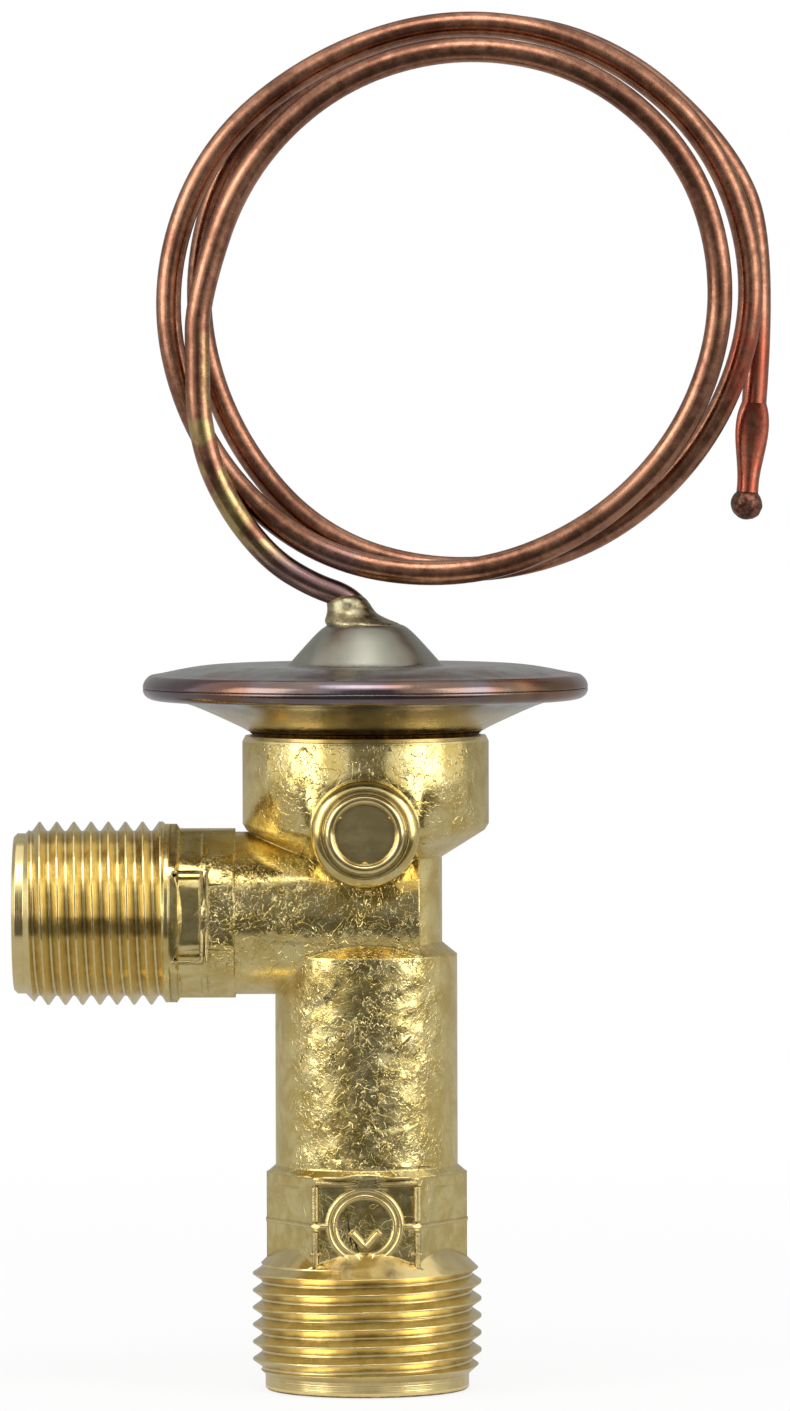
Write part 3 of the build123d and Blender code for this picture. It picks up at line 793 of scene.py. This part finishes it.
def rod(name, start, end, radius, face=marks["face"]):
    # low ridge from start to end, both (x, z) on a front flat, its ends drawn in
    start, end = Vector((start[0], 0, start[1])), Vector((end[0], 0, end[1]))
    run = end - start
    piece = cylinder(name, rodShape["sides"], radius, run.length)
    startEdit(piece, "FACE")
    pickFaces(piece, lambda centre, normal: abs(normal.z) > 0.9)
    inset, rise = radius * rodShape["endInset"] * mm, rodShape["endRise"] * radius * mm
    bpy.ops.mesh.inset(thickness=inset, depth=rise, use_individual=True)
    endEdit()
    piece.rotation_mode = "QUATERNION"
    piece.rotation_quaternion = run.to_track_quat("Z", "Y")
    piece.location = ((start + end) / 2 + Vector((0, -face, 0))) * mm
    settle(piece)
    return piece


def ringBead(name, radius, section, lean):
    piece = torus(name, radius, section, marks["ringSegments"], turn=90 + lean)
    piece.scale = (1, marks["flatten"], 1)
    x, z = marks["ringPlace"]
    piece.location = (x * mm, -marks["face"] * mm, z * mm)
    settle(piece)
    return piece


def partingBead():
    # six-sided low ridge where the die's halves met, left out inside the rings
    face, z, half = marks["face"], parting["height"], parting["half"]
    outer = (face + parting["rise"]) / hexagonShare
    inner = (face - parting["root"]) / hexagonShare
    drop, shoulderHalf = parting["shoulder"]
    outline = [(inner, z - half), (outer - drop, z - shoulderHalf), (outer, z),
               (outer - drop, z + shoulderHalf), (inner, z + half)]
    bead = spun("partingBead", outline, steps=6)
    cut(bead, cylinder("partingLimit", 64, parting["limit"], 2, place=(0, 0, z)), "INTERSECT")
    x, ringZ = marks["ringPlace"]
    cut(bead, cylinder("partingWindow", 48, parting["window"], 30, place=(x, 0, ringZ), turn=(90, 0, 0)))
    return bead


port = {
    # ring's radius, section's radius, segments of both, place along Y
    "plugLip": (3.05, 0.40, (96, 16), -12.12),
    "plugGroove": (3.60, 0.17, (96, 12), -12.0),
}


def portRing(name):
    # rolled lip round the plug, or the groove outside it
    radius, section, segments, y = port[name]
    return torus(name, radius, section, segments, place=(0, y, portHeight))


shoulder = {
    "radius": 9, "depth": 0.75, "middle": 16.675,
    "flats": 7.0, "flatsDepth": 3, "flatsMiddle": 16.5,
}


def shoulderFlats():
    # the inlet hexagon's flats run a little way into the round shoulder
    middle, flatsMiddle = (0, 0, shoulder["middle"]), (0, 0, shoulder["flatsMiddle"])
    ring = cylinder("shoulderFlats", 64, shoulder["radius"], shoulder["depth"], place=middle)
    settle(ring)
    across = shoulder["flats"] / hexagonShare
    hexagon = cylinder("armHexagon", 6, across, shoulder["flatsDepth"], place=flatsMiddle, turn=(0, 0, 30))
    cut(ring, hexagon)
    ontoInlet(ring)
    return ring


def frontMarks():
    beads = []
    for side in (-1, 1):
        x = side * marks["corner"]
        for name in ("cornerLow", "cornerHigh"):
            low, high, radius = marks[name]
            beads.append(rod(name, (x, low), (x, high), radius))
        half, radius = marks["tick"]
        for z in marks["ticks"]:
            beads.append(rod("tick", (x - half, z), (x + half, z), radius))
    z, radius = marks["topEdge"]
    beads.append(rod("topEdge", (-marks["corner"], z), (marks["corner"], z), radius))
    for radius, section, lean in marks["rings"]:
        beads.append(ringBead("ring", radius, section, lean))
    for x, low, high in panels["sides"]:
        beads.append(rod("panelSide", (x, low), (x, high), panels["radius"], panels["face"]))
    left, right = panels["edgeEnds"]
    for z in panels["edges"]:
        beads.append(rod("panelEdge", (left, z), (right, z), panels["radius"], panels["face"]))
    first, middle, last = marks["chevron"]
    beads.append(rod("chevronLeft", first, middle, marks["chevronRadius"]))
    beads.append(rod("chevronRight", middle, last, marks["chevronRadius"]))
    return beads


machined = {
    # faces that were cut after forging lie here, millimetres
    "below": 10.4,
    "coneBelow": 12.8, "coneSlope": (0.45, 0.95),
    "leftOf": -17.4,
    "above": 56.9,
    "bore": 6.5, "boreBelow": 37, "boreHalf": 6.4,
    "armBore": 5.7, "armLeftOf": -8,
    "portFront": -11.4, "portRadius": 3.6,
}


def isMachined(centre, normal):
    slopeLow, slopeHigh = machined["coneSlope"]
    cone = centre.z < machined["coneBelow"] and slopeLow < normal.z < slopeHigh
    ends = centre.z < machined["below"] or centre.x < machined["leftOf"] or centre.z > machined["above"]
    across = math.hypot(centre.x, centre.y)
    inBore = across < machined["bore"] and abs(centre.y) < machined["boreHalf"]
    inBore = inBore and centre.z < machined["boreBelow"]
    armAcross = math.hypot(centre.y, centre.z - armHeight)
    inArm = armAcross < machined["armBore"] and centre.x < machined["armLeftOf"]
    portAcross = math.hypot(centre.x, centre.z - portHeight)
    inPort = centre.y < machined["portFront"] and portAcross < machined["portRadius"]
    return cone or ends or inBore or inArm or inPort


def makeBody():
    body = mergedCopy("valve_body", "valveForging")
    body.data.materials.append(finishes["forged_brass"])
    body.data.materials.append(finishes["machined_brass"])
    for bead in [*frontMarks(), partingBead()]:
        cutWith(body, bead, "machined_brass", "UNION")
    lip, groove = portRing("plugLip"), portRing("plugGroove")
    cutWith(body, lip, "machined_brass", "UNION")
    cutWith(body, groove, "machined_brass")
    cutWith(body, shoulderFlats(), "forged_brass")
    cutWith(body, threadCutter("outletCutter", outletThread), "machined_brass")
    cutter = threadCutter("inletCutter", inletThread)
    # the inlet's thread stops at the shoulder
    stopMiddle = (0, 0, inletStop["middle"])
    stop = cylinder("inletStop", 64, inletStop["radius"], inletStop["depth"], place=stopMiddle)
    cut(cutter, stop, "INTERSECT")
    ontoInlet(cutter)
    cutWith(body, cutter, "machined_brass")
    startEdit(body, "FACE")
    pickFaces(body, isMachined)
    body.active_material_index = 1
    bpy.ops.object.material_slot_assign()
    endEdit()
    smooth(body, degrees=32)
    dress(body, "forged_brass", "valve", "valve_body")
    print("body:", len(body.data.polygons), "faces")


makeBody()


# power head, pressed from sheet and welded at the rim

head = {
    # outlines in (radius, height)
    "cap": (
        (1.24, 62.6), (1.24, 66.5), (1.4, 66.75), (2.4, 66.85), (3.2, 66.78), (3.75, 66.45),
        (4.5, 65.75), (6.25, 63.80), (6.62, 63.34), (6.9, 63.14), (7.6, 63.18), (10.5, 63.32),
        (13.7, 63.30), (16.2, 62.90), (17.6, 62.58), (18.4, 62.44), (18.75, 62.40), (18.95, 62.28),
        (19.25, 61.98), (19.43, 61.6), (19.45, 61.30), (19.42, 61.255), (19.0, 61.255), (18.9, 61.35),
        (17.3, 61.37), (16.2, 61.95), (13.4, 62.40), (7.2, 62.25), (5.85, 62.40), (3.2, 62.3),
        (1.6, 62.3),
    ),
    "cup": (
        (5.9, 57.42), (5.9, 58.28), (9.7, 58.30), (10.65, 58.75), (15.2, 60.82), (16.9, 61.05),
        (17.3, 61.14), (18.9, 61.15), (19.0, 61.245), (19.42, 61.245), (19.45, 61.20), (19.42, 60.88),
        (19.25, 60.58), (18.9, 60.34), (18.5, 60.22), (17.9, 60.16), (16.6, 60.12), (15.4, 59.92),
        (13.2, 58.95), (11.2, 58.02), (10.5, 57.66), (10.25, 57.46), (9.6, 57.40), (7.0, 57.40),
    ),
    "steps": 72,
}


def makeHead():
    for name, node in (("cap", "upper_diaphragm_cap"), ("cup", "lower_diaphragm_cup")):
        piece = spun("head" + name.title(), head[name], head["steps"])
        modify(piece, "SUBSURF", levels=2, render_levels=2)
        smooth(piece, degrees=60)
        dress(piece, "head_steel", "valve", node)


makeHead()
print("head spun")


# capillary: one smooth line through the corners of the wound turns

winding = {
    "centre": (8.55, 95.0),
    "front": -2.6,
    "turnPitch": 2.6,
    "corners": 12,               # to a turn
    "cornerFactor": 1.034,       # corners lie this much outside the bent tube
    "radii": (22.3, 21.6, 21.45, 21.65, 22.35, 22.75, 22.4, 22.1, 22.35, 23.6, 25.15, 25.55,
              25.7, 25.15, 23.8, 24.0, 24.6, 25.35, 25.25, 24.2, 23.65, 23.45, 23.7, 22.85,
              22.95, 23.5, 23.7, 23.9, 25.05, 25.8),
    "lead": ((0, 0, 63.5), (0, 0, 67.3), (-1.5, -0.1, 69.15), (-4.5, -0.5, 70.2), (-7.75, -1.0, 72.15),
             (-10.4, -1.6, 75.1), (-12.3, -2.1, 78.15), (-13.65, -2.5, 81.3), (-14.45, -2.65, 85.4),
             (-14.5, -2.65, 89.6)),
    "tail": ((26.6, 4.05, 4.6), (25.55, 4.2, -9.0)),      # from the coil's centre
    "tubeRadius": 1.09,
}


def makeCapillary():
    centreX, centreZ = winding["centre"]
    points = list(winding["lead"])
    for n, radius in enumerate(winding["radii"]):
        angle = math.radians(180 - 360 / winding["corners"] * n)
        reach = radius * winding["cornerFactor"]
        y = winding["front"] + winding["turnPitch"] * n / winding["corners"]
        points.append((centreX + reach * math.cos(angle), y, centreZ + reach * math.sin(angle)))
    points += [(centreX + x, y, centreZ + z) for x, y, z in winding["tail"]]
    curve = bpy.data.curves.new("capillary", "CURVE")
    curve.dimensions = "3D"
    spline = curve.splines.new("NURBS")
    spline.points.add(len(points) - 1)
    for place, point in zip(points, spline.points):
        point.co = (*(Vector(place) * mm), 1)
    spline.order_u = 3
    spline.use_endpoint_u = True
    spline.resolution_u = 14
    curve.bevel_depth = winding["tubeRadius"] * mm
    curve.bevel_resolution = 7
    curve.use_fill_caps = True
    piece = bpy.data.objects.new("capillary", curve)
    bpy.context.scene.collection.objects.link(piece)
    pickOnly(piece)
    bpy.ops.object.convert(target="MESH")
    piece = bpy.context.object
    smooth(piece, degrees=50)
    dress(piece, "copper", "valve", "capillary_tube")


makeCapillary()
print("capillary wound")


# braze round the lead's foot

leadBraze = {
    # centre along X, radius and height, from the top down
    "levels": (
        (-1.55, 0.30, 69.45), (-1.60, 1.20, 69.38), (-1.60, 1.75, 69.00), (-1.45, 1.90, 68.50),
        (-1.33, 2.00, 68.10), (-1.10, 2.30, 67.60), (-0.80, 2.75, 67.22), (-0.40, 3.15, 66.95),
        (-0.10, 3.30, 66.75), (-0.10, 3.25, 66.40), (-0.10, 0.30, 66.35),
    ),
    "steps": 28,
    "lump": 1.7,
    "wobble": 0.16,
    "levelReach": 0.01,      # points this near to a level's height belong to it
}


def makeLeadBraze():
    levels = leadBraze["levels"]
    outline = [(radius, height) for middle, radius, height in levels]
    piece = spun("leadBraze", outline, leadBraze["steps"])
    startEdit(piece)
    for middle, radius, height in levels:
        bpy.ops.mesh.select_all(action="DESELECT")
        bpy.ops.object.mode_set(mode="OBJECT")
        for point in piece.data.vertices:
            point.select = abs(point.co.z - height * mm) < leadBraze["levelReach"] * mm
        bpy.ops.object.mode_set(mode="EDIT")
        bpy.ops.transform.translate(value=(middle * mm, 0, 0))
    endEdit()
    modify(piece, "SUBSURF", levels=2, render_levels=2)
    roughen(piece, "leadBraze", leadBraze["lump"], leadBraze["wobble"], 0.5)
    smooth(piece, degrees=60)
    dress(piece, "silver_braze", "valve", "capillary_sleeve")


# bead that seals the tip

endBead = {"voxel": 0.12, "lump": 0.9, "wobble": 0.28, "level": 0.6, "melt": 3, "meltAfter": 2}


def makeEndBead():
    piece = mergedCopy("tip_bead", "endBead")
    modify(piece, "REMESH", mode="VOXEL", voxel_size=endBead["voxel"] * mm)
    modify(piece, "SMOOTH", factor=0.5, iterations=endBead["melt"])
    roughen(piece, "endBead", endBead["lump"], endBead["wobble"], endBead["level"])
    modify(piece, "SMOOTH", factor=0.5, iterations=endBead["meltAfter"])
    smooth(piece, degrees=60)
    dress(piece, "tip_braze", "valve", "tip_bead")


makeLeadBraze()
makeEndBead()
print("brazes run")


# superheat spring: cut into two halves

spring = {
    "foot": 17.62,
    "height": 10.14,
    "endCoil": 1.3,      # height at either end that doesn't stretch
}


def makeSpring():
    foot, top = spring["foot"], spring["foot"] + spring["height"]
    middle = (foot + top) / 2
    halves = (
        # name, is the lower one, bodies at its foot and its top, heights between which it stretches
        ("springLower", True, "spring_seat", "valve", foot + spring["endCoil"], middle),
        ("springUpper", False, "valve", "push_stack", middle, top - spring["endCoil"]),
    )
    for name, isLower, lowBody, highBody, low, high in halves:
        piece = mergedCopy("superheat_spring", name)
        startEdit(piece)
        bpy.ops.mesh.select_all(action="SELECT")
        bpy.ops.mesh.bisect(plane_co=(0, 0, middle * mm), plane_no=(0, 0, 1), use_fill=True,
                            clear_outer=isLower, clear_inner=not isLower)
        endEdit()
        smooth(piece, degrees=40)
        piece.data.materials.append(finishes["spring_steel"])
        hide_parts("superheat_spring")
        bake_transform(piece)


makeSpring()
print("spring halved")


# the other solids keep their shape and get their own finish

nodeFinishes = {
    "staked_plug": "machined_brass", "orifice_seat": "stainless", "valve_ball": "stainless",
    "ball_carrier": "machined_brass", "damper_spring": "spring_steel", "spring_seat": "machined_brass",
    "adjusting_nut": "machined_brass", "push_plate": "stainless", "push_pin_1": "stainless",
    "push_pin_2": "stainless", "pin_seal_1": "seal_rubber", "pin_seal_2": "seal_rubber",
    "seal_retainer": "machined_brass", "head_braze_ring": "copper_braze", "diaphragm": "stainless",
    "capillary_tip": "copper", "strainer_ferrule": "machined_brass", "strainer_mesh": "screen",
    "strainer_cap": "machined_brass",
}
for node, slot in nodeFinishes.items():
    piece = frame["nodes"][node]
    if not piece.material_slots:
        piece.data.materials.append(None)
    for each in piece.material_slots:
        each.material = finishes[slot]
print("solids dressed:", len(nodeFinishes))


# studio: white surroundings, pale floor, soft lamps and grey cards

studio = {
    "ambient": 0.6,
    "lamps": (
        # place in metres, size, power in watts
        {"place": (-0.85, -0.50, 0.25), "size": (0.6, 1.1), "power": 5.6},
        {"place": (0.85, -0.50, 0.25), "size": (0.6, 1.1), "power": 5.2},
        {"place": (0.0, -0.45, 0.95), "size": (0.5, 0.5), "power": 2.6},
    ),
    "aim": (0.004, 0.0, 0.055),
    "floorSize": 6,
    "floorHeight": -0.0001,
    "floorGlow": 0.86,               # beside the object, 1 further out
    "glowFrom": (0.05, 0.30),
}


def makeWorld():
    world = bpy.data.worlds.new("studio")
    bpy.context.scene.world = world
    world.use_nodes = True
    tree = world.node_tree
    background = tree.nodes["Background"]
    rays = addNode(tree, "LightPath").outputs
    seen = calc(tree, "MAXIMUM", calc(tree, "MAXIMUM", rays["Is Camera Ray"], rays["Is Glossy Ray"]),
                rays["Is Transmission Ray"])
    strength = ramp(tree, seen, 0.0, 1.0, studio["ambient"], 1.0)
    background.inputs["Color"].default_value = (1, 1, 1, 1)
    tree.links.new(strength, background.inputs["Strength"])


def makeFloor():
    deselectAll()
    bpy.ops.mesh.primitive_plane_add(size=studio["floorSize"], location=(0, 0, studio["floorHeight"]))
    floor = named("studioFloor")
    material = bpy.data.materials.new("paleFloor")
    material.use_nodes = True
    tree = material.node_tree
    shader = tree.nodes["Principled BSDF"]
    shader.inputs["Base Color"].default_value = (0.9, 0.9, 0.9, 1)
    shader.inputs["Roughness"].default_value = 0.8
    shader.inputs["Specular IOR Level"].default_value = 0.1
    glow = addNode(tree, "Emission", {"Color": (1, 1, 1, 1), "Strength": 1.0}).outputs[0]
    rays = addNode(tree, "LightPath").outputs
    place = addNode(tree, "TexCoord").outputs["Object"]
    away = addNode(tree, "VectorMath", {0: place}, operation="LENGTH").outputs["Value"]
    nearGlow = ramp(tree, away, *studio["glowFrom"], studio["floorGlow"], 1.0)
    share = calc(tree, "MULTIPLY", rays["Is Camera Ray"], nearGlow)
    mixed = addNode(tree, "MixShader", {0: share, 1: shader.outputs[0], 2: glow}).outputs[0]
    tree.links.new(mixed, tree.nodes["Material Output"].inputs["Surface"])
    floor.data.materials.append(material)


def makeLamps():
    for number, lamp in enumerate(studio["lamps"], 1):
        deselectAll()
        bpy.ops.object.light_add(type="AREA", location=lamp["place"])
        light = bpy.context.object
        light.name = f"softLamp{number}"
        light.data.shape = "RECTANGLE"
        light.data.size, light.data.size_y = lamp["size"]
        light.data.energy = lamp["power"]
        aim = Vector(studio["aim"]) - Vector(lamp["place"])
        light.rotation_euler = aim.to_track_quat("-Z", "Y").to_euler()


cards = {
    # place, size across and up (or along), grey and the point that each one faces
    "darkCard": ((0.03, -1.05, 0.15), (0.70, 1.3), 0.20, (0, 0, 0.15)),
    "backCard": ((0.0, 0.90, 0.15), (6.4, 3.0), 0.40, (0, 0, 0.15)),
    "tableCard": ((0.0, 0.0, 0.0004), (5.0, 5.0), 0.52, (0, 0, 1)),
    "frontTableCard": ((0.0, -0.55, 0.0008), (0.60, 0.95), 0.11, (0, -0.55, 1)),
}


def makeCards():
    # grey cards that only reflections see
    for name, (place, size, grey, facing) in cards.items():
        deselectAll()
        bpy.ops.mesh.primitive_plane_add(size=1, location=place)
        piece = named(name)
        piece.scale = (*size, 1)
        aim = Vector(facing) - Vector(place)
        piece.rotation_euler = aim.to_track_quat("Z", "Y").to_euler()
        settle(piece)
        material = bpy.data.materials.new(name)
        material.use_nodes = True
        tree = material.node_tree
        glow = addNode(tree, "Emission", {"Color": (grey, grey, grey, 1), "Strength": 1.0}).outputs[0]
        tree.links.new(glow, tree.nodes["Material Output"].inputs["Surface"])
        piece.data.materials.append(material)
        piece.visible_camera = piece.visible_diffuse = piece.visible_shadow = False
        piece.visible_transmission = piece.visible_volume_scatter = False


makeWorld()
makeFloor()
makeLamps()
makeCards()
bpy.context.scene.view_settings.view_transform = "Standard"
print("studio lit")
